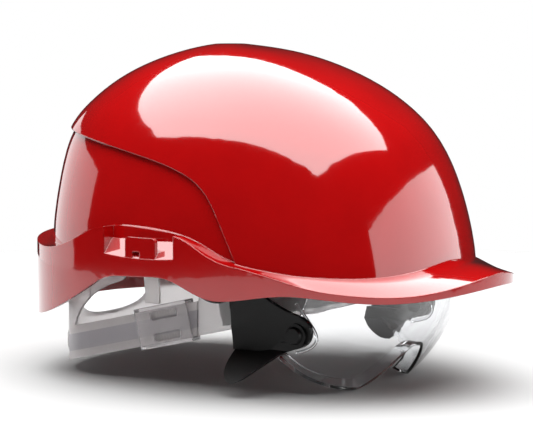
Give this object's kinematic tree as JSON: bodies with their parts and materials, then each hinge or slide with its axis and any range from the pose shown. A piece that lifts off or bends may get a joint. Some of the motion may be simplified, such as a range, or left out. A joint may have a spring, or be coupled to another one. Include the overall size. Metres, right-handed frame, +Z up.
{
  "type": "hard hat",
  "caption": "Industrial hard hat with a glossy moulded shell, short peak, accessory slots in the side band, a retractable clear eye shield and an adjustable headband on webbing suspension",
  "frame": {"origin": "on the symmetry plane at the level of the side rims, at the middle of the head opening, where the wearer's head sits", "axes": "+X wearer's left, -Y front (the peak), +Z up to the crown"},
  "size_m": [0.2222, 0.2951, 0.1958],
  "materials": {
    "red_shell": "high-gloss injection-moulded ABS, signal red",
    "clear_lens": "clear moulded polycarbonate, polished",
    "milky_band": "natural translucent low-density polyethylene",
    "milky_buckle": "natural translucent polyethylene, satin",
    "clip_plastic": "black moulded nylon",
    "black_plastic": "satin black moulded nylon",
    "webbing": "woven polyester webbing, dark grey",
    "patch": "stitched polyester patch",
    "sweat_cloth": "perforated foam-backed sweat cloth",
    "screw_steel": "zinc-plated pan-head screw",
    "washer_steel": "stamped spring-steel wave washer"
  },
  "bodies": {
    "hat": {"shell": "red_shell", "hinge_bracket_left": "black_plastic", "hinge_bracket_right": "black_plastic", "bracket_screws_left": "screw_steel", "bracket_screws_right": "screw_steel", "hinge_screw_left": "black_plastic", "hinge_screw_right": "black_plastic", "friction_washer_left": "washer_steel", "friction_washer_right": "washer_steel", "headband": "milky_band", "sweatband": "sweat_cloth", "size_buckle_left": "milky_buckle", "size_buckle_right": "milky_buckle", "crown_strap_front_left": "webbing", "crown_strap_front_right": "webbing", "crown_strap_side": "webbing", "crown_patch": "patch", "front_clips": "clip_plastic", "side_clips": "clip_plastic", "rear_clips": "clip_plastic", "front_hangers": "milky_band", "side_hangers": "milky_band", "nape_hanger_left": "milky_band", "nape_hanger_right": "milky_band"},
    "eye_shield": {"visor_lens": "clear_lens", "visor_arm_left": "black_plastic", "visor_arm_right": "black_plastic", "lens_stud_left": "black_plastic", "lens_stud_right": "black_plastic"},
    "nape": {"nape_strap": "milky_band", "nape_pad": "milky_buckle"}
  },
  "joints": [
    {"name": "visor_swing", "type": "hinge", "parent": "hat", "child": "eye_shield", "pos_m": [0, -0.027, 0.006], "axis": [-1, 0, 0], "range_deg": [0, 52]},
    {"name": "size_adjust", "type": "slide", "parent": "hat", "child": "nape", "axis": [0, -0.9724, 0.2334], "range_m": [-0.006, 0.012]}
  ]
}
